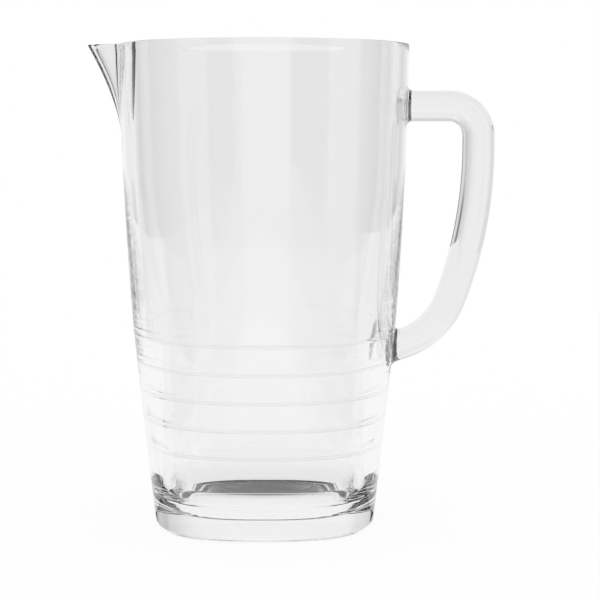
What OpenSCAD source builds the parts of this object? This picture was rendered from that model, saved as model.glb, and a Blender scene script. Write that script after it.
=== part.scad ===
/* [Body] */
// Height from the table to the rim
body_h = 225; // [195:1:255]
// Outside diameter of the round rim
rim_d = 136; // [130:1:146]
// Outside diameter at the top ring, where the straight taper ends
band_d = 124.6; // [116:0.2:128]
// Outside width at the foot of the wall, across its flats
base_w = 104.6; // [96:0.2:114]
// Height at which the body has turned from square to round
round_h = 123; // [90:1:160]
// Height of the bevel under the wall
heel_h = 1.4; // [1:0.1:3]
// Inset of the standing face from the foot of the wall, across its flats
heel_in = 3.3; // [1:0.1:4]

/* [Wall] */
// Wall thickness at the rim
rim_wall = 3.2; // [2.8:0.1:5]
// Wall thickness in the lower body
low_wall = 9; // [6:0.1:11]
// Height below which the wall thickens
thin_h = 169; // [130:1:180]
// Height at which the wall has reached its full thickness
thick_h = 56; // [35:1:90]
// Thickness of the floor in its middle
floor_t = 7; // [5:0.5:14]
// Rise of the dished floor from its middle to its edge
floor_rise = 1.2; // [0:0.1:2]
// Width of the rounding between the floor and the wall, inside
round_w = 13; // [8:0.5:18]
// Height from the middle of the floor to the top of that rounding
round_rise = 16.8; // [10:0.2:24]
// Height at which the inside has lost its greater squareness
inner_square_h = 75; // [40:1:110]
// Radius of both edges of the rim
rim_edge = 1.2; // [0.5:0.1:1.4]

/* [Rings] */
// Number of raised rings
ring_n = 5; // [1:1:6]
// Height of the lowest ring
ring_low = 39; // [30:1:50]
// Distance from ring to ring
ring_pitch = 12.8; // [8:0.2:14]
// Width of a ring
ring_w = 3.8; // [1.6:0.1:4.6]
// How far a ring stands out from the wall
ring_t = 0.3; // [0.1:0.05:0.6]

/* [Spout] */
// How far the lip of the spout reaches beyond the rim
spout_reach = 14.8; // [8:0.2:20]
// Depth of the spout below the rim
spout_h = 46; // [30:1:60]
// Width of the spout at the rim
spout_w = 34; // [26:1:44]

/* [Handle] */
// Distance from the rim down to the middle of the top arm
handle_drop = 28.3; // [22:0.1:40]
// Distance from the outside of the rim to the middle of the grip
handle_reach = 33.1; // [28:0.1:42]
// Thickness of the two arms, seen from the side
arm_t = 14.4; // [11:0.1:18]
// Thickness of the grip, seen from the side
grip_t = 15.2; // [11:0.1:20]
// Width of the handle, seen from the back
handle_w = 17; // [13:0.5:22]
// Radius of the upper bend, along its middle
bend_r = 14; // [11:0.5:18]
// Straight length of the grip below the upper bend
grip_l = 7; // [3:0.5:14]
// Radius of the long bow of the grip, along its middle
bow_r = 203; // [150:1:260]
// Angle through which the grip bows in
bow_turn = 20.2; // [14:0.1:26]
// Radius of the lower bend, along its middle
foot_r = 36.3; // [28:0.1:44]
// Angle from upright at which the lower arm meets the body
foot_turn = 72; // [62:1:80]
// Fillet where the handle is fused to the wall
weld_r = 2.5; // [1.5:0.1:4]
// Seam between the handle and the wall
weld_seam = 0.05; // [0.02:0.01:0.2]

/* [Hidden] */

// Squareness of a cross-section, as the power of a superellipse: where it is round, at the
// foot of the wall, of the standing face, and of the inside at the floor
round_power = 2;
foot_power = 2.62;
standing_power = 3.15;
inner_power = 3.3;
// Slopes of the upper body, as shares of the straight taper's slope
shoulder_slope_share = 0.72;
rim_slope_share = 0.19;
// Powers of the spout's rise, of its narrowing and of its cross-section
spout_rise_power = 1.7;
spout_narrow_power = 0.4;
spout_round_power = 3;
least_rise_share = 0.001;
// Heights across a ring, and what it stands out there
ring_place_shares = [-0.5, -0.25, 0, 0.25, 0.5];
ring_crest_shares = [0, 0.62, 1, 0.62, 0];
// Rings across the dished floor
floor_shares = [0.75, 0.5, 0.25];
// Steps of a fillet around the handle's ends, outwards from the wall
weld_step_shares = [0, 0.12, 0.35, 0.65, 1];
// Rings across the handle's end faces
cap_shares = [0.35, 0.7];

// Angles of the columns, counted from the middle of the spout
spout_half_angle = 48;
spout_step = 4;
body_step = 6;
columns = concat(
    [for (a = [-spout_half_angle : spout_step : spout_half_angle - spout_step]) a],
    [for (a = [spout_half_angle : body_step : 360 - spout_half_angle - body_step]) a]);
// Rows of facets in each stretch of the body
heel_rows = 3;
upper_rows = 7;
spout_rows = 9;
fillet_rows = 6;
rim_steps = 3;
inner_rows = 15;
// Facets around the handle, and along its bends
handle_sides = 28;
bend_steps = 9;
bow_steps = 7;
foot_steps = 7;
// Rounds of the search for the point where the handle meets the wall
seek_rounds = 8;

band_h = ring_low + (ring_n - 1) * ring_pitch;
spout_foot = body_h - spout_h;
taper = (band_d - base_w) / 2 / band_h;
rings_at = [for (i = [0 : ring_n - 1]) ring_low + i * ring_pitch];

function smooth(u) = let (t = min(1, max(0, u))) t * t * (3 - 2 * t);

// Cubic from height 0 to 1, with its ends' values and slopes
function cubic(u, v0, s0, v1, s1) =
    v0 * (1 - 3 * u * u + 2 * u * u * u) + s0 * (u - 2 * u * u + u * u * u)
    + v1 * (3 * u * u - 2 * u * u * u) + s1 * (u * u * u - u * u);

// Half the body's width at a height: straight up to the top ring, then bowed
function half_at(z) = z < band_h
    ? base_w / 2 + taper * z
    : let (rise = body_h - band_h)
        cubic((z - band_h) / rise, band_d / 2, shoulder_slope_share * taper * rise,
            rim_d / 2, rim_slope_share * taper * rise);

function wall_at(z) = rim_wall + (low_wall - rim_wall) * smooth((thin_h - z) / (thin_h - thick_h));

// Squareness of the outside, and of the inside, which is squarer near the floor
function power_at(z) = foot_power + (round_power - foot_power) * smooth(z / round_h);

function inner_power_at(z) =
    inner_power + (power_at(z) - inner_power) * smooth(z / inner_square_h);

// Distance from the axis to a superellipse of half width 1, in the direction a
function outline(a, power) =
    pow(pow(abs(cos(a)), power) + pow(abs(sin(a)), power), -1 / power);

// What the spout adds to the radius at the sideways distance y and the height z
function spout_at(y, z) = let (
        u = max(0, (z - spout_foot) / spout_h),
        w = spout_w / 2 * pow(max(u, least_rise_share), spout_narrow_power),
        t = min(1, abs(y) / w))
    u == 0 ? 0 : spout_reach * pow(u, spout_rise_power) * pow(cos(90 * t), spout_round_power);

// A ring of points at the height z and the half width h, which the spout draws out
function row(h, z, power) = [for (a = columns) let (
        r = h * outline(a, power),
        out = cos(a) > 0 ? spout_at(r * sin(a), z) : 0)
    [-(r + out) * cos(a), -(r + out) * sin(a), z]];

// The raised rings run out beside the fused end of the handle
function ring_fade(a, h) = cos(a) > 0 ? 1
    : smooth((abs(h * sin(a)) - handle_w / 2 - weld_r) / weld_r);

function outer_row(z) = row(half_at(z), z, power_at(z));

function ring_row(z, crest) = let (h = half_at(z)) [for (a = columns) let (
        r = h * outline(a, power_at(z)) + crest * ring_t * ring_fade(a, h))
    [-r * cos(a), -r * sin(a), z]];

function bore_at(z) = half_at(z) - wall_at(z);

round_top = floor_t + round_rise;
floor_half = bore_at(round_top) - round_w;
ring_top = band_h + ring_w / 2;

outer_rows = concat(
    [row(base_w / 2 - heel_in, 0, standing_power), outer_row(heel_h)],
    [for (i = [1 : heel_rows - 1])
        outer_row(heel_h + (ring_low - ring_w / 2 - heel_h) * i / heel_rows)],
    [for (zr = rings_at, k = [0 : len(ring_place_shares) - 1])
        ring_row(zr + ring_place_shares[k] * ring_w, ring_crest_shares[k])],
    [for (i = [1 : upper_rows]) outer_row(ring_top + (spout_foot - ring_top) * i / upper_rows)],
    [for (i = [1 : spout_rows - 1]) outer_row(spout_foot + (spout_h - rim_edge) * i / spout_rows)]);

// The rim is rounded on both edges
rim_rows = concat(
    [for (i = [0 : rim_steps]) let (a = 90 * i / rim_steps, z = body_h - rim_edge + rim_edge * sin(a))
        row(half_at(z) - rim_edge + rim_edge * cos(a), z, round_power)],
    [for (i = [rim_steps : -1 : 0]) let (a = 90 * i / rim_steps, z = body_h - rim_edge + rim_edge * sin(a))
        row(bore_at(z) + rim_edge - rim_edge * cos(a), z, round_power)]);

// The inside, from under the rim down to the dished floor
inner_rows_down = concat(
    [for (i = [inner_rows - 1 : -1 : 1])
        let (z = round_top + (body_h - rim_edge - round_top) * i / inner_rows)
        row(bore_at(z), z, inner_power_at(z))],
    [for (i = [fillet_rows : -1 : 0])
        let (a = 90 * i / fillet_rows, z = round_top - (round_rise - floor_rise) * cos(a))
        row(floor_half + round_w * sin(a), z, inner_power_at(z))],
    [for (s = floor_shares) let (z = floor_t + floor_rise * s * s)
        row(floor_half * s, z, inner_power_at(z))]);

// A closed skin over rows of points, with a point in the middle of each end
function skin_points(rows, first, last) = concat([first], [for (r = rows) each r], [last]);

function skin_faces(n_rows, n) = let (end = n_rows * n + 1) concat(
    [for (i = [0 : n - 1]) [0, 1 + i, 1 + (i + 1) % n]],
    [for (j = [0 : n_rows - 2], i = [0 : n - 1]) let (a = 1 + j * n + i, b = 1 + j * n + (i + 1) % n)
        each [[a, a + n, b + n], [a, b + n, b]]],
    [for (i = [0 : n - 1]) let (a = 1 + (n_rows - 1) * n) [end, a + (i + 1) % n, a + i]]);

module vessel() {
    rows = concat(outer_rows, rim_rows, inner_rows_down);
    color([0.82, 0.9, 0.9, 0.45])
        polyhedron(skin_points(rows, [0, 0, 0], [0, 0, floor_t]), skin_faces(len(rows), len(columns)));
}

// The handle's middle line in its own upright plane: [distance from the axis, height, heading],
// where the heading turns from 90, outwards, by 0, down, to the negative angle of the lower arm
top_z = body_h - handle_drop;
grip_x = rim_d / 2 + handle_reach;
bend_x = grip_x - bend_r;
bow_z = top_z - bend_r - grip_l;
bow_x = grip_x - bow_r;
foot_x = bow_x + (bow_r - foot_r) * cos(bow_turn);
foot_z = bow_z - (bow_r - foot_r) * sin(bow_turn);

middle_line = concat(
    [for (i = [0 : bend_steps]) let (a = 90 - 90 * i / bend_steps)
        [bend_x + bend_r * cos(a), top_z - bend_r + bend_r * sin(a), a]],
    [for (i = [0 : bow_steps]) let (a = -bow_turn * i / bow_steps)
        [bow_x + bow_r * cos(a), bow_z + bow_r * sin(a), a]],
    [for (i = [1 : foot_steps]) let (a = -bow_turn - (foot_turn - bow_turn) * i / foot_steps)
        [foot_x + foot_r * cos(a), foot_z + foot_r * sin(a), a]]);

function wall_x(y, z) = let (h = half_at(z), p = power_at(z))
    h * pow(1 - pow(abs(y) / h, p), 1 / p);

// A point moved along the heading [dx, dz] until it lies at the distance gap from the wall
function to_wall(point, heading, gap, t = 0, rounds = seek_rounds) = rounds == 0
    ? point + [t * heading[0], 0, t * heading[1]]
    : to_wall(point, heading, gap,
        (point[0] - gap - wall_x(point[1], point[2] + t * heading[1])) / -heading[0], rounds - 1);

// An oval across the middle line at a station, grown by a margin
function oval(station, thick, margin = 0) = [for (i = [0 : handle_sides - 1]) let (
        a = -360 * i / handle_sides,
        across = (thick / 2 + margin) * cos(a),
        aside = (handle_w / 2 + margin) * sin(a))
    [station[0] + across * cos(station[2]), aside, station[1] + across * sin(station[2])]];

// The flared end of the handle, from its end face outwards
function weld_rows(station, heading) = concat(
    [for (s = cap_shares) [for (p = oval(station, arm_t, weld_r))
        to_wall([station[0], 0, station[1]] + s * (p - [station[0], 0, station[1]]), heading, weld_seam)]],
    [for (s = weld_step_shares) let (
            margin = weld_r - sqrt(weld_r * weld_r * (1 - (1 - s) * (1 - s))),
            gap = weld_seam + s * weld_r)
        [for (p = oval(station, arm_t, margin)) to_wall(p, heading, gap)]]);

module handle() {
    last = len(middle_line) - 1;
    top_end = weld_rows(middle_line[0], [-1, 0]);
    foot_end = weld_rows(middle_line[last], [-sin(foot_turn), -cos(foot_turn)]);
    shaft = [for (i = [0 : last])
        oval(middle_line[i], arm_t + (grip_t - arm_t) * pow(sin(180 * i / last), 2))];
    rows = concat(top_end, shaft, [for (i = [len(foot_end) - 1 : -1 : 0]) foot_end[i]]);
    top_mid = to_wall([bend_x, 0, top_z], [-1, 0], weld_seam);
    foot_mid = to_wall([middle_line[last][0], 0, middle_line[last][1]],
        [-sin(foot_turn), -cos(foot_turn)], weld_seam);
    color([0.84, 0.92, 0.92, 0.55])
        polyhedron(skin_points(rows, top_mid, foot_mid), skin_faces(len(rows), handle_sides));
}

vessel();
handle();
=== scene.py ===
import math

import bmesh
import bpy
import numpy as np
from mathutils import Matrix, Vector


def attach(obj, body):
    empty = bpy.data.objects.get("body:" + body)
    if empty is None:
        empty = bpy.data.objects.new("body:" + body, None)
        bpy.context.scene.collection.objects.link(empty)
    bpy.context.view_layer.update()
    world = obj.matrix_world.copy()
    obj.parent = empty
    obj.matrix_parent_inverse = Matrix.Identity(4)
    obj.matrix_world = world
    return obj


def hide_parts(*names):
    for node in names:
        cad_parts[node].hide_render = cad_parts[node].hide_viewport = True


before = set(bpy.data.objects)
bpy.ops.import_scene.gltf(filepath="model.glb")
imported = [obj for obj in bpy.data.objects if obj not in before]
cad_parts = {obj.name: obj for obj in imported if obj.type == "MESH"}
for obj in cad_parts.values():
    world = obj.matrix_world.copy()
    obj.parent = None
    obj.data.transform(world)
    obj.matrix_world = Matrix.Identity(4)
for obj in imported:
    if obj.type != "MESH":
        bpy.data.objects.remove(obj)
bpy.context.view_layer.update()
mm = 0.001
white = (1.0, 1.0, 1.0, 1.0)
print("frame loaded")


# Sockets that can be added, multiplied and so on, in materials and in geometry trees

class Wire:
    def __init__(self, tree, socket):
        self.tree = tree
        self.socket = socket

    def out(self, name):
        return Wire(self.tree, self.socket.node.outputs[name])

    def maths(self, operation, *others):
        sockets = dict(enumerate([self, *others]))
        return node(self.tree, "ShaderNodeMath", {"operation": operation}, sockets)

    def flipped(self, operation, other):
        return node(self.tree, "ShaderNodeMath", {"operation": operation}, {0: other, 1: self})

    def __add__(self, other):
        return self.maths("ADD", other)

    def __radd__(self, other):
        return self.flipped("ADD", other)

    def __sub__(self, other):
        return self.maths("SUBTRACT", other)

    def __rsub__(self, other):
        return self.flipped("SUBTRACT", other)

    def __mul__(self, other):
        return self.maths("MULTIPLY", other)

    def __rmul__(self, other):
        return self.flipped("MULTIPLY", other)

    def __truediv__(self, other):
        return self.maths("DIVIDE", other)

    def __rtruediv__(self, other):
        return self.flipped("DIVIDE", other)

    def __pow__(self, other):
        return self.maths("POWER", other)

    def __neg__(self):
        return self.maths("MULTIPLY", -1.0)

    def __abs__(self):
        return self.maths("ABSOLUTE")

    def __gt__(self, other):
        return self.maths("GREATER_THAN", other)

    def __lt__(self, other):
        return self.maths("LESS_THAN", other)


def node(tree, kind, settings=None, sockets=None):
    made = tree.nodes.new(kind)
    for key, value in (settings or {}).items():
        setattr(made, key, value)
    for key, value in (sockets or {}).items():
        if isinstance(value, Wire):
            tree.links.new(value.socket, made.inputs[key])
        else:
            made.inputs[key].default_value = value
    return Wire(tree, next((s for s in made.outputs if s.enabled), None)) if made.outputs else made


def smoothStep(value, low, high):  # 0 below low, 1 above high, on a wire
    return node(value.tree, "ShaderNodeMapRange", {"interpolation_type": "SMOOTHSTEP"},
                {"Value": value, "From Min": low, "From Max": high, "To Min": 0.0, "To Max": 1.0})


def blend(share, one, other):  # one where the share is 0, the other where it is 1
    return one + share * (other - one)


def ease(share):  # smoothStep's curve on a number
    share = min(1.0, max(0.0, share))
    return share * share * (3 - 2 * share)


# Materials

rings = {
    "count": 5,
    "low": 39.5 * mm,
    "pitch": 12.85 * mm,
    "width": 1.8 * mm,
    "height": 0.1 * mm,
    "steps": 7,                   # rows from a crest to the edge of a ring
    "shade": 0.13,                # painted shade, tinting the near side, most along the edges of a ring
    "middleShare": 0.6,
    "edgeShares": (0.35, 0.65),   # of half the width
    "endShares": (0.85, 1.05),
    "skinRadius": 51 * mm,        # nearer to the axis than this the wall gets no painted shade
    "skinTaper": 0.08,
    "nearDepth": 20 * mm,         # the painted shade comes in over this much of the near side
}
glassLook = {
    "tint": (0.994, 0.998, 0.996),
    "handleLightUnderPaintedShade": 0.955,         # painted shade: the handle's glass is made a little greyer
    "ior": 1.5,
    "waveSize": 26 * mm,          # the skin is slightly uneven
    "waveStrength": 0.02,
    "waveDepth": 1 * mm,
    "waveDetail": 1.0,
    "waveGrain": 0.4,
    "scuffLow": 0.2 * mm,         # the standing face is worn dull by use
    "scuffHeight": 2.2 * mm,
    "scuffScale": 900.0,
    "scuffDetail": 3.0,
    "scuffGrain": 0.6,
    "scuffShares": (0.45, 0.75),
    "scuffRoughness": 0.12,
}


def newMaterial(name):
    material = bpy.data.materials.new(name)
    material.use_nodes = True
    material.node_tree.nodes.clear()
    return material


# painted shade: the colour is darkened along the rings, on the near side of the wall
def ringPaintedShade(tree, place):
    split = node(tree, "ShaderNodeSeparateXYZ", {}, {"Vector": place})
    across, along, height = split.out("X"), split.out("Y"), split.out("Z")
    turn = (height - rings["low"]) / rings["pitch"]
    off = abs((turn + 0.5).maths("FRACT") - 0.5) * rings["pitch"] / (rings["width"] / 2)
    edge = blend(smoothStep(off, *rings["edgeShares"]), rings["middleShare"], 1.0)
    line = (1 - smoothStep(off, *rings["endShares"])) * edge
    band = (turn > -0.5) * (turn < rings["count"] - 0.5)
    radius = (across * across + along * along).maths("SQRT")
    outside = radius > rings["skinRadius"] + height * rings["skinTaper"]
    return line * band * outside * smoothStep(-along, 0.0, rings["nearDepth"]) * rings["shade"]


def makeGlass(name, pressed, light):
    material = newMaterial(name)
    tree = material.node_tree
    place = node(tree, "ShaderNodeTexCoord").out("Object")
    waves = node(tree, "ShaderNodeTexNoise", {}, {
        "Vector": place, "Scale": 1 / glassLook["waveSize"],
        "Detail": glassLook["waveDetail"], "Roughness": glassLook["waveGrain"]})
    bump = node(tree, "ShaderNodeBump", {}, {
        "Height": waves, "Strength": glassLook["waveStrength"], "Distance": glassLook["waveDepth"]})
    roughness = 0.0
    if pressed:
        # painted shade along the rings
        light = light - ringPaintedShade(tree, place)
        height = node(tree, "ShaderNodeSeparateXYZ", {}, {"Vector": place}).out("Z")
        low = 1 - smoothStep(height, glassLook["scuffLow"], glassLook["scuffHeight"])
        specks = node(tree, "ShaderNodeTexNoise", {}, {
            "Vector": place, "Scale": glassLook["scuffScale"],
            "Detail": glassLook["scuffDetail"], "Roughness": glassLook["scuffGrain"]})
        roughness = low * smoothStep(specks, *glassLook["scuffShares"]) * glassLook["scuffRoughness"]
    red, green, blue = (light * part for part in glassLook["tint"])
    tint = node(tree, "ShaderNodeCombineColor", {}, {"Red": red, "Green": green, "Blue": blue})
    surface = node(tree, "ShaderNodeBsdfPrincipled", {}, {
        "Base Color": tint, "IOR": glassLook["ior"], "Roughness": roughness,
        "Transmission Weight": 1.0, "Normal": bump})
    node(tree, "ShaderNodeOutputMaterial", {}, {"Surface": surface})
    return material


def makeWeld(name):  # fused glass: light passes the seam unbent
    material = newMaterial(name)
    tree = material.node_tree
    surface = node(tree, "ShaderNodeBsdfTransparent", {}, {"Color": white})
    node(tree, "ShaderNodeOutputMaterial", {}, {"Surface": surface})
    return material


vesselGlass = makeGlass("pressedGlass", True, 1.0)
# painted shade: the handle's copy of the glass is darker
handleGlass = makeGlass("drawnGlass", False, glassLook["handleLightUnderPaintedShade"])
weldGlass = makeWeld("fusedSeam")
print("materials made")


# The vessel: one section, carried round the axis by a geometry tree

vessel = {
    "height": 225 * mm,
    "rimWidth": 136 * mm,
    "bandWidth": 124.6 * mm,      # at the top ring
    "footWidth": 104.6 * mm,
    "roundHeight": 123 * mm,      # round from here up
    "roundPower": 2.0,            # squareness, as the power of a superellipse
    "footPower": 2.62,
    "standingPower": 3.15,
    "innerPower": 3.3,
    "innerHeight": 75 * mm,       # the inside is squarer than the outside up to here
    "heelHeight": 1.4 * mm,
    "heelInset": 3.3 * mm,
    "heelRound": 0.3 * mm,
    "rimWall": 3.2 * mm,
    "lowWall": 9 * mm,
    "thinHeight": 169 * mm,
    "thickHeight": 56 * mm,
    "floor": 7 * mm,
    "floorRise": 1.2 * mm,        # the floor is dished
    "floorRoundWidth": 13 * mm,
    "floorRoundRise": 16.8 * mm,
    "rimRound": 0.45 * mm,
    "shoulderSlope": 0.72,
    "rimSlope": 0.19,
    "columns": 300,
    "crowding": 0.35,             # columns stand closer at the spout
    "rowPitch": 2.6 * mm,
    "outsideFrom": 4 * mm,
    "outsideMargin": 3 * mm,      # no plain row this close below the rim
    "insideMargin": 4 * mm,
    "floorMargin": 1 * mm,
    "heelGuide": 20 * mm,         # the corners turn towards the wall at these places
    "rimGuide": 5 * mm,
    "heelSteps": 4,
    "rimSteps": 6,
    "floorSteps": 28,
    "baseShares": (0.0, 0.25, 0.5, 0.7, 0.85, 0.93, 0.97),
    "floorShares": (0.97, 0.93, 0.87, 0.8, 0.7, 0.6, 0.5, 0.4, 0.3, 0.2, 0.1, 0.0),
}
spout = {
    "reach": 14.8 * mm,
    "depth": 46 * mm,
    "width": 34 * mm,
    "risePower": 1.7,
    "narrowPower": 0.4,
    "roundPower": 3.0,
    "leastRise": 0.001,
}
handle = {
    "drop": 28.3 * mm,
    "reach": 33.1 * mm,
    "armThick": 14.4 * mm,
    "gripThick": 15.2 * mm,
    "width": 17 * mm,
    "bendRadius": 14 * mm,
    "gripStraight": 7 * mm,
    "bowRadius": 203 * mm,
    "bowTurn": 20.2,
    "footRadius": 36.3 * mm,
    "footTurn": 72.0,
    "fillet": 2.5 * mm,
    "plug": 1.0 * mm,             # how deep the end is set into the wall
    "cutterProud": 1.5 * mm,
    "armStart": 3 * mm,
    "sides": 96,
    "armSteps": 8,
    "bendSteps": 28,
    "bowSteps": 36,
    "footSteps": 30,
    "filletSteps": 12,
    "seekSteps": 12,
    "capShares": (0.3, 0.6, 0.85, 1.0),
}
mergeDistance = 1e-6
creaseAngle = 50.0
bandHeight = rings["low"] + (rings["count"] - 1) * rings["pitch"]
taper = (vessel["bandWidth"] - vessel["footWidth"]) / 2 / bandHeight


def halfAt(z):
    # straight up to the top ring, and from there a curve that flares to the rim
    if z < bandHeight:
        return vessel["footWidth"] / 2 + taper * z
    rise = vessel["height"] - bandHeight
    u = (z - bandHeight) / rise
    low, lowSlope = vessel["bandWidth"] / 2, vessel["shoulderSlope"] * taper * rise
    high, highSlope = vessel["rimWidth"] / 2, vessel["rimSlope"] * taper * rise
    return (low * (1 - 3 * u * u + 2 * u ** 3) + lowSlope * (u - 2 * u * u + u ** 3)
            + high * (3 * u * u - 2 * u ** 3) + highSlope * (u ** 3 - u * u))


def wallAt(z):
    share = ease((vessel["thinHeight"] - z) / (vessel["thinHeight"] - vessel["thickHeight"]))
    return vessel["rimWall"] + (vessel["lowWall"] - vessel["rimWall"]) * share


def boreAt(z):
    return halfAt(z) - wallAt(z)


def powerAt(z):
    share = ease(z / vessel["roundHeight"])
    return vessel["footPower"] + (vessel["roundPower"] - vessel["footPower"]) * share


def innerPowerAt(z):
    return vessel["innerPower"] + (powerAt(z) - vessel["innerPower"]) * ease(z / vessel["innerHeight"])


def roundedCorner(before, corner, after, radius, steps):
    # points of an arc that replaces a corner of the section
    corner = Vector(corner)
    toBefore = (Vector(before) - corner).normalized()
    toAfter = (Vector(after) - corner).normalized()
    half = toBefore.angle(toAfter) / 2
    reach = radius / math.tan(half)
    centre = corner + (toBefore + toAfter).normalized() * (radius / math.sin(half))
    start = corner + toBefore * reach - centre
    end = corner + toAfter * reach - centre
    turn = start.angle(end)
    points = []
    for i in range(steps + 1):
        t = i / steps
        spoke = (start * math.sin((1 - t) * turn) + end * math.sin(t * turn)) / math.sin(turn)
        points.append(tuple(centre + spoke))
    return points


def ringCrests():
    # heights of the outside's rows, each with how far a ring stands out there
    places = [rings["low"] + i * rings["pitch"] for i in range(rings["count"])]
    last = vessel["height"] - vessel["outsideMargin"]
    plain = np.arange(vessel["outsideFrom"], last, vessel["rowPitch"])
    crests = {z: 0.0 for z in plain if all(abs(z - place) > rings["width"] for place in places)}
    for place in places:
        for i in range(-rings["steps"] - 1, rings["steps"] + 2):
            share = i / rings["steps"]
            crests[place + share * rings["width"] / 2] = rings["height"] * max(0.0, 1 - share * share)
    return crests


def vesselSection():
    # points (half width, height, ring crest, squareness) from the middle of the base, up the
    # outside and over the rim to the middle of the floor
    top = vessel["height"]
    base = (vessel["footWidth"] / 2 - vessel["heelInset"], 0.0)
    heel = (halfAt(vessel["heelHeight"]), vessel["heelHeight"])
    aboveHeel = (halfAt(vessel["heelGuide"]), vessel["heelGuide"])
    heelArc = (vessel["heelRound"], vessel["heelSteps"])
    standing = vessel["standingPower"]
    points = [(base[0] * s, 0.0, 0.0, standing) for s in vessel["baseShares"]]
    points += [(x, z, 0.0, standing) for x, z in roundedCorner((0.0, 0.0), base, heel, *heelArc)]
    points += [(x, z, 0.0, powerAt(z)) for x, z in roundedCorner(base, heel, aboveHeel, *heelArc)]
    crests = ringCrests()
    points += [(halfAt(z), z, crests[z], powerAt(z)) for z in sorted(crests)]
    outerRim, innerRim = (halfAt(top), top), (boreAt(top), top)
    below = top - vessel["rimGuide"]
    rimArc = (vessel["rimRound"], vessel["rimSteps"])
    rim = roundedCorner((halfAt(below), below), outerRim, innerRim, *rimArc)
    rim += roundedCorner(outerRim, innerRim, (boreAt(below), below), *rimArc)
    points += [(x, z, 0.0, vessel["roundPower"]) for x, z in rim]
    roundTop = vessel["floor"] + vessel["floorRoundRise"]
    inside = np.arange(top - vessel["insideMargin"], roundTop + vessel["floorMargin"], -vessel["rowPitch"])
    points += [(boreAt(z), z, 0.0, innerPowerAt(z)) for z in inside]
    floorHalf = boreAt(roundTop) - vessel["floorRoundWidth"]
    for i in range(vessel["floorSteps"] + 1):
        turn = math.radians(90 * (1 - i / vessel["floorSteps"]))
        z = roundTop - (vessel["floorRoundRise"] - vessel["floorRise"]) * math.cos(turn)
        points.append((floorHalf + vessel["floorRoundWidth"] * math.sin(turn), z, 0.0, innerPowerAt(z)))
    for s in vessel["floorShares"]:
        z = vessel["floor"] + vessel["floorRise"] * s * s
        points.append((floorHalf * s, z, 0.0, innerPowerAt(z)))
    return points


def plainMesh(name, points, faces):
    mesh = bpy.data.meshes.new(name)
    mesh.from_pydata([tuple(p) for p in points], [], [tuple(f) for f in faces])
    mesh.validate()
    made = bpy.data.objects.new(name, mesh)
    bpy.context.scene.collection.objects.link(made)
    return made


latheInputs = {
    "Columns": vessel["columns"],
    "Crowding": vessel["crowding"],
    "Spout foot": vessel["height"] - spout["depth"],
    "Spout depth": spout["depth"],
    "Spout width": spout["width"],
    "Spout reach": spout["reach"],
    "Rise power": spout["risePower"],
    "Narrow power": spout["narrowPower"],
    "Spout round power": spout["roundPower"],
    "Handle clearance": handle["width"] / 2 + handle["fillet"],
    "Ring fade": handle["fillet"],
    "Glass": vesselGlass,
}


def latheTree(rows):
    # a grid of rows and columns; each row takes its half width, height, crest and squareness
    # from a point of the section
    tree = bpy.data.node_groups.new("vesselLathe", "GeometryNodeTree")
    add = tree.interface.new_socket
    add("Geometry", in_out="INPUT", socket_type="NodeSocketGeometry")
    add("Geometry", in_out="OUTPUT", socket_type="NodeSocketGeometry")
    for name, value in latheInputs.items():
        kind = {int: "Int", float: "Float"}.get(type(value), "Material")
        add(name, in_out="INPUT", socket_type="NodeSocket" + kind)
    given = node(tree, "NodeGroupInput")
    get = given.out
    columns = get("Columns")
    grid = node(tree, "GeometryNodeMeshGrid", {}, {
        "Size X": 1.0, "Size Y": 1.0, "Vertices X": rows, "Vertices Y": columns + 1})
    index = node(tree, "GeometryNodeInputIndex")
    row = (index / (columns + 1)).maths("FLOOR")
    column = index - row * (columns + 1)
    sample = node(tree, "GeometryNodeSampleIndex", {"data_type": "FLOAT_VECTOR", "domain": "POINT"}, {
        "Geometry": get("Geometry"), "Value": node(tree, "GeometryNodeInputPosition"), "Index": row})
    named = node(tree, "GeometryNodeInputNamedAttribute", {"data_type": "FLOAT"}, {"Name": "squareness"})
    power = node(tree, "GeometryNodeSampleIndex", {"data_type": "FLOAT", "domain": "POINT"}, {
        "Geometry": get("Geometry"), "Index": row, "Value": named})
    section = node(tree, "ShaderNodeSeparateXYZ", {}, {"Vector": sample})
    half, crest, height = section.out("X"), section.out("Y"), section.out("Z")
    turn = column / columns * math.tau
    angle = turn - get("Crowding") * turn.maths("SINE")
    cosine, sine = angle.maths("COSINE"), angle.maths("SINE")
    outline = (abs(cosine) ** power + abs(sine) ** power) ** (-1 / power)
    fade = smoothStep(abs(half * sine) - get("Handle clearance"), 0.0, get("Ring fade"))
    spoutSide = cosine > 0.0
    radius = half * outline + crest * (spoutSide + (1 - spoutSide) * fade)
    rise = ((height - get("Spout foot")) / get("Spout depth")).maths("MAXIMUM", 0.0)
    mouth = get("Spout width") * 0.5 * rise.maths("MAXIMUM", spout["leastRise"]) ** get("Narrow power")
    aside = (abs(radius * sine) / mouth).maths("MINIMUM", 1.0)
    crown = (aside * (math.pi / 2)).maths("COSINE").maths("MAXIMUM", 0.0)
    out = get("Spout reach") * rise ** get("Rise power") * crown ** get("Spout round power") * spoutSide
    reach = radius + out
    place = node(tree, "ShaderNodeCombineXYZ", {}, {
        "X": -(reach * cosine), "Y": -(reach * sine), "Z": height})
    shaped = node(tree, "GeometryNodeSetPosition", {}, {"Geometry": grid, "Position": place})
    merged = node(tree, "GeometryNodeMergeByDistance", {}, {"Geometry": shaped, "Distance": mergeDistance})
    smooth = node(tree, "GeometryNodeSetShadeSmooth", {}, {"Geometry": merged, "Shade Smooth": True})
    real = node(tree, "GeometryNodeRealizeInstances", {}, {"Geometry": smooth})
    done = node(tree, "GeometryNodeSetMaterial", {}, {"Geometry": real, "Material": get("Glass")})
    node(tree, "NodeGroupOutput", {}, {"Geometry": done})
    return tree


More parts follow.
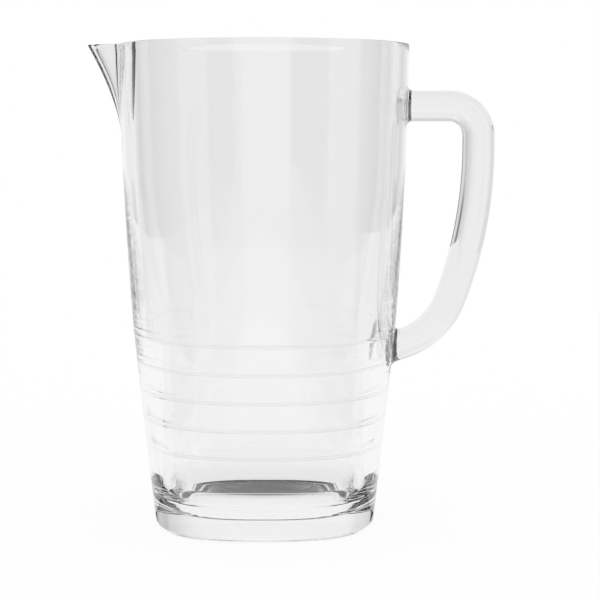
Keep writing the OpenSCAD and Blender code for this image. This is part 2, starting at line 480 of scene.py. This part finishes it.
def baked(source, name):
    # the evaluated object as a plain mesh of its own
    bpy.context.view_layer.update()
    graph = bpy.context.evaluated_depsgraph_get()
    mesh = bpy.data.meshes.new_from_object(source.evaluated_get(graph))
    made = bpy.data.objects.new(name, mesh)
    bpy.context.scene.collection.objects.link(made)
    return made


def throughTree(item, tree, values, name):
    # the item after a geometry tree, whose inputs are set by their identifiers
    modifier = item.modifiers.new("tree", "NODES")
    modifier.node_group = tree
    for socket in tree.interface.items_tree:
        if socket.item_type == "SOCKET" and socket.in_out == "INPUT" and socket.name in values:
            modifier[socket.identifier] = values[socket.name]
    made = baked(item, name)
    filled = [m for m in made.data.materials if m]
    indices = [0] * len(made.data.polygons)
    made.data.polygons.foreach_get("material_index", indices)
    indices = [filled.index(made.data.materials[i]) for i in indices]
    made.data.materials.clear()
    for material in filled:
        made.data.materials.append(material)
    made.data.polygons.foreach_set("material_index", indices)
    return made


def drop(item):
    mesh = item.data
    bpy.data.objects.remove(item)
    bpy.data.meshes.remove(mesh)


section = vesselSection()
guide = plainMesh("vesselSection", [(half, crest, z) for half, z, crest, power in section], [])
squareness = guide.data.attributes.new("squareness", "FLOAT", "POINT")
squareness.data.foreach_set("value", [power for half, z, crest, power in section])
guide.data.materials.append(vesselGlass)
vesselPiece = throughTree(guide, latheTree(len(section)), latheInputs, "glass_vessel")
drop(guide)
print("vessel turned:", len(section), "rows,", len(vesselPiece.data.polygons), "faces")


# The handle: an oval rod along a bow, with flared ends that are fused to the wall

def wallX(y, z):
    half, power = halfAt(z), powerAt(z)
    return half * (1 - (abs(y) / half) ** power) ** (1 / power)


def toWall(point, heading, gap):
    # the point moved along its heading, in the upright plane, until it stands off the wall by gap
    t = 0.0
    for _ in range(handle["seekSteps"]):
        t = (point[0] - gap - wallX(point[1], point[2] + t * heading[1])) / -heading[0]
    return (point[0] + t * heading[0], point[1], point[2] + t * heading[1])


def onArc(x, z, radius, turn):
    # a station (x, z and which way is outwards, in degrees) on an arc
    return (x + radius * math.cos(math.radians(turn)), z + radius * math.sin(math.radians(turn)), turn)


def middleLine():
    # stations from the arm's end at the wall to the foot
    top = vessel["height"] - handle["drop"]
    gripX = vessel["rimWidth"] / 2 + handle["reach"]
    bend = handle["bendRadius"]
    bendX = gripX - bend
    bowZ = top - bend - handle["gripStraight"]
    bowX = gripX - handle["bowRadius"]
    inner = handle["bowRadius"] - handle["footRadius"]
    footX, footZ, turned = onArc(bowX, bowZ, inner, -handle["bowTurn"])
    start = halfAt(top) + handle["armStart"]
    line = []
    for i in range(handle["armSteps"]):
        line.append((start + (bendX - start) * i / handle["armSteps"], top, 90.0))
    for i in range(handle["bendSteps"] + 1):
        line.append(onArc(bendX, top - bend, bend, 90 - 90 * i / handle["bendSteps"]))
    for i in range(handle["bowSteps"] + 1):
        line.append(onArc(bowX, bowZ, handle["bowRadius"], -handle["bowTurn"] * i / handle["bowSteps"]))
    for i in range(1, handle["footSteps"] + 1):
        more = (handle["footTurn"] - handle["bowTurn"]) * i / handle["footSteps"]
        line.append(onArc(footX, footZ, handle["footRadius"], turned - more))
    return line


def oval(station, thick, margin, scale=1.0):
    x, z, turned = station
    outX, outZ = math.cos(math.radians(turned)), math.sin(math.radians(turned))
    ring = []
    for i in range(handle["sides"]):
        turn = -math.tau * i / handle["sides"]
        across = (thick / 2 + margin) * math.cos(turn) * scale
        aside = (handle["width"] / 2 + margin) * math.sin(turn) * scale
        ring.append((x + across * outX, aside, z + across * outZ))
    return ring


def capRows(station, heading, gap):
    # rings that widen from the middle of an end to its edge
    rows = []
    for share in handle["capShares"]:
        rim = oval(station, handle["armThick"], handle["fillet"], share)
        rows.append([toWall(p, heading, gap) for p in rim])
    return rows


def endRows(station, heading):
    # from the middle of the plug's end, over its side, to the end of the fillet
    fillet = handle["fillet"]
    rows = capRows(station, heading, -handle["plug"])
    for i in range(handle["filletSteps"] + 1):
        turn = math.radians(90 * i / handle["filletSteps"])
        rim = oval(station, handle["armThick"], fillet * (1 - math.sin(turn)))
        rows.append([toWall(p, heading, fillet * (1 - math.cos(turn))) for p in rim])
    return rows


def skin(rows, first, last):
    # closed skin over rings of points, with a middle point at each end
    count = len(rows[0])
    points = [first] + [p for r in rows for p in r] + [last]
    faces = [(0, 1 + i, 1 + (i + 1) % count) for i in range(count)]
    for j in range(len(rows) - 1):
        for i in range(count):
            a, b = 1 + j * count + i, 1 + j * count + (i + 1) % count
            faces.append((a, a + count, b + count, b))
    end, start = len(points) - 1, 1 + (len(rows) - 1) * count
    faces += [(end, start + (i + 1) % count, start + i) for i in range(count)]
    return points, faces


def outwards(item):
    work = bmesh.new()
    work.from_mesh(item.data)
    bmesh.ops.recalc_face_normals(work, faces=work.faces)
    work.to_mesh(item.data)
    work.free()


line = middleLine()
footTurn = math.radians(handle["footTurn"])
ends = [(line[0], (-1.0, 0.0)), (line[-1], (-math.sin(footTurn), -math.cos(footTurn)))]
shaft = []
for i, station in enumerate(line[1:]):
    swell = math.sin(math.pi * i / (len(line) - 2)) ** 2
    shaft.append(oval(station, handle["armThick"] + (handle["gripThick"] - handle["armThick"]) * swell, 0.0))
rows = endRows(*ends[0]) + shaft + endRows(*ends[1])[::-1]
middles = [toWall((x, 0.0, z), heading, -handle["plug"]) for (x, z, turned), heading in ends]
handlePiece = plainMesh("glass_handle", *skin(rows, *middles))
outwards(handlePiece)
handlePiece.data.materials.append(handleGlass)
handlePiece.data.materials.append(weldGlass)
faceCount = len(handlePiece.data.polygons)
plugFaces = handle["sides"] * (len(handle["capShares"]) + 1)  # of one end, with the plug's side
for face in handlePiece.data.polygons:
    face.use_smooth = True
    if face.index < plugFaces or face.index >= faceCount - plugFaces:
        face.material_index = 1
print("handle drawn:", faceCount, "faces")


# The wall is let in under the handle's ends, so that the seam is inside the glass

for station, heading in ends:
    gaps = (-handle["plug"], handle["cutterProud"])
    rows = capRows(station, heading, gaps[0]) + capRows(station, heading, gaps[1])[::-1]
    middles = [toWall((station[0], 0.0, station[1]), heading, gap) for gap in gaps]
    cutter = plainMesh("plugCutter", *skin(rows, *middles))
    outwards(cutter)
    cutter.data.materials.append(weldGlass)
    cut = vesselPiece.modifiers.new("letIn", "BOOLEAN")
    cut.operation = "DIFFERENCE"
    cut.solver = "EXACT"
    cut.material_mode = "TRANSFER"
    cut.object = cutter
    letIn = baked(vesselPiece, "glass_vessel_cut")
    drop(vesselPiece)
    drop(cutter)
    vesselPiece = letIn
vesselPiece.name = "glass_vessel"
print("vessel let in:", len(vesselPiece.data.polygons), "faces,",
      [m.name for m in vesselPiece.data.materials])


def sharpen(item, degrees):
    # keeps the shading of the wall apart from the sides of the let-in ends
    work = bmesh.new()
    work.from_mesh(item.data)
    for edge in work.edges:
        two = len(edge.link_faces) == 2
        edge.smooth = two and edge.calc_face_angle(0.0) < math.radians(degrees)
    for face in work.faces:
        face.smooth = True
    work.to_mesh(item.data)
    work.free()


sharpen(vesselPiece, creaseAngle)
sharpen(handlePiece, creaseAngle)

looks = ((vesselPiece, "vessel", "clear_glass"), (handlePiece, "handle", "handle_glass"))
for piece, cadNode, slotName in looks:
    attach(piece, "root")
    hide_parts(cadNode)
print("pieces handed over")


# Table top, light and camera. Glass sees a glowing sheet on the table, with a painted pool of light and a
# painted shadow, a pale backdrop, a panel and a strip in a dark room, and the camera sees white round the
# pitcher

studio = {
    "tableGlow": 0.93,            # as the camera sees it, and the rest is matt paper
    "tableGap": 0.2 * mm,         # under the standing face, which isn't in optical contact
    # corners of the sheet that the pitcher stands on, towards the camera and then back
    "sheet": ((-0.56, -1.7), (0.85, -1.7), (0.53, -0.25), (0.5, 0.82), (-0.5, 0.82), (-0.49, -0.25)),
    "sheetBack": 0.93,            # brightness behind the pitcher, as the glass sees it
    "sheetFront": 0.42,
    "paintedPoolLevel": 0.95,          # a painted pool of light in front of the pitcher
    "poolWidth": 0.2,             # half its width, in metres
    "poolLength": 0.46,
    "poolEdge": (0.9, 1.1),       # it fades between these shares of its size
    "paintedShadowLevel": 0.08,            # painted shadow of the pitcher
    "underneath": 0.056,          # no painted shadow within this radius: bright again
    "paintedShadowEdge": (0.11, 0.2),      # that painted shadow ends between these radii
    "paperScale": 60.0,
    "paperDetail": 4.0,
    "paperRoughness": 0.8,
    "paperVariation": 0.1,
    "backdrop": 0.92,             # its light falls off to each side and upwards
    "backdropTo": 58.0,           # degrees from straight behind
    "backdropTop": 56.0,          # degrees up
    "right": 0.2,
    "fadeRight": (12.0, 32.0),
    "left": 0.1,
    "fadeLeft": (25.0, 34.0),
    "up": 0.27,
    "fadeUp": (30.0, 42.0),
    "openRight": (34.5, 42.0),    # narrow dark openings in the backdrop
    "openLeft": (40.0, 46.0),     # here only low down
    "openLow": 0.65,
    "openHigh": 0.15,
    "openBelow": (-8.0, -4.0),
    "sidePanel": 0.55,            # on the right
    "sideFrom": 97.0,
    "sideTo": 127.0,
    "strip": 0.45,                # behind the camera
    "stripFrom": 158.0,
    "room": 0.02,
    "soft": 1.5,                  # degrees over which an upright edge fades
    "topSoft": 1.0,
    "leastLevel": 1e-4,           # keeps the division by a heading's level part safe
}


def seenThrough(tree):
    # rays that have met glass
    path = node(tree, "ShaderNodeLightPath")
    return path.out("Is Glossy Ray").maths("MAXIMUM", path.out("Is Transmission Ray"))


def makeTableTop():
    material = newMaterial("paleTableTop")
    tree = material.node_tree
    place = node(tree, "ShaderNodeTexCoord").out("Object")
    split = node(tree, "ShaderNodeSeparateXYZ", {}, {"Vector": place})
    across, along = split.out("X"), split.out("Y")
    pool = ((across / studio["poolWidth"]) ** 2 + (along / studio["poolLength"]) ** 2).maths("SQRT")
    # the glow that the glass sees: a painted pool of light in front, a painted shadow round the pitcher
    front = blend(smoothStep(pool, *studio["poolEdge"]), studio["paintedPoolLevel"], studio["sheetFront"])
    radius = (across * across + along * along).maths("SQRT")
    # painted shadow round the pitcher's foot
    front = blend(smoothStep(radius, *studio["paintedShadowEdge"]), studio["paintedShadowLevel"], front)
    front = blend(radius > studio["underneath"], studio["paintedPoolLevel"], front)
    sheet = blend(along > 0.0, front, studio["sheetBack"])
    glass = seenThrough(tree)
    seen = node(tree, "ShaderNodeLightPath").out("Is Camera Ray").maths("MAXIMUM", glass)
    paper = node(tree, "ShaderNodeTexNoise", {}, {
        "Vector": place, "Scale": studio["paperScale"], "Detail": studio["paperDetail"]})
    roughness = studio["paperRoughness"] + paper * studio["paperVariation"]
    matt = node(tree, "ShaderNodeBsdfPrincipled", {}, {
        "Base Color": white, "Roughness": roughness, "Specular IOR Level": 0.0})
    glow = node(tree, "ShaderNodeEmission", {}, {"Color": white, "Strength": blend(glass, 1.0, sheet)})
    share = seen * blend(glass, studio["tableGlow"], 1.0)
    mix = node(tree, "ShaderNodeMixShader", {}, {0: share, 1: matt, 2: glow})
    node(tree, "ShaderNodeOutputMaterial", {}, {"Surface": mix})
    return material


def makeTable():
    corners = [(x, y, -studio["tableGap"]) for x, y in studio["sheet"]]
    made = plainMesh("table_top", corners, [range(len(corners))])
    made.data.materials.append(makeTableTop())


def makeWorld():
    world = bpy.data.worlds.new("studio")
    world.use_nodes = True
    tree = world.node_tree
    tree.nodes.clear()
    heading = node(tree, "ShaderNodeTexCoord").out("Generated")
    split = node(tree, "ShaderNodeSeparateXYZ", {}, {"Vector": heading})
    across, along, up = split.out("X"), split.out("Y"), split.out("Z")
    away = along / (1 - up * up).maths("MAXIMUM", studio["leastLevel"]).maths("SQRT")

    def beyond(angle):  # turned further than this from straight behind
        edge = [math.cos(math.radians(angle + side * studio["soft"])) for side in (1, -1)]
        return 1 - smoothStep(away, *edge)

    def between(start, end):
        return beyond(start) * (1 - beyond(end))

    def past(value, start, end):  # angles in degrees, on a part of the heading
        return smoothStep(value, math.sin(math.radians(start)), math.sin(math.radians(end)))

    top, topSoft = studio["backdropTop"], studio["topSoft"]
    below = 1 - past(up, top - topSoft, top + topSoft)
    right = across > 0.0
    fade = past(across, *studio["fadeRight"]) * studio["right"]
    fade = fade + past(-across, *studio["fadeLeft"]) * studio["left"]
    fade = fade + past(up, *studio["fadeUp"]) * studio["up"]
    low = 1 - past(up, *studio["openBelow"])
    dark = right * between(*studio["openRight"]) * blend(low, studio["openHigh"], studio["openLow"])
    dark = dark + (1 - right) * between(*studio["openLeft"]) * low * studio["openLow"]
    lit = (studio["backdrop"] - fade) * (1 - dark) * (1 - beyond(studio["backdropTo"]))
    lit = lit + right * between(studio["sideFrom"], studio["sideTo"]) * studio["sidePanel"]
    lit = lit + beyond(studio["stripFrom"]) * studio["strip"]
    strength = blend(seenThrough(tree), 1.0, (below * lit).maths("MAXIMUM", studio["room"]))
    light = node(tree, "ShaderNodeBackground", {}, {"Color": white, "Strength": strength})
    node(tree, "ShaderNodeOutputWorld", {}, {"Surface": light})
    bpy.context.scene.world = world


makeTable()
makeWorld()
print("studio lit")

view = {
    "place": (18 * mm, -712.2 * mm, 190 * mm),
    "pitch": 0.1193,
    "yaw": 0.0016,
    "focalPixels": 1500,
    "framePixels": 600,
    "sensorWidth": 36.0,
    "nearest": 0.01,
    "bounces": 40,                # light is led a long way inside thick glass, from side to side
}
camera = bpy.data.cameras.new("photoCamera")
camera.sensor_fit = "HORIZONTAL"
camera.sensor_width = view["sensorWidth"]
camera.lens = view["sensorWidth"] * view["focalPixels"] / view["framePixels"]
camera.clip_start = view["nearest"]
cameraObject = bpy.data.objects.new("photoCamera", camera)
bpy.context.scene.collection.objects.link(cameraObject)
cameraObject.matrix_world = (
    Matrix.Translation(view["place"]) @ Matrix.Rotation(view["yaw"], 4, "Z")
    @ Matrix.Rotation(math.pi / 2 - view["pitch"], 4, "X"))
scene = bpy.context.scene
scene.camera = cameraObject
scene.view_settings.view_transform = "Standard"
scene.cycles.max_bounces = view["bounces"]
scene.cycles.glossy_bounces = view["bounces"]
scene.cycles.transmission_bounces = view["bounces"]
print("camera set")
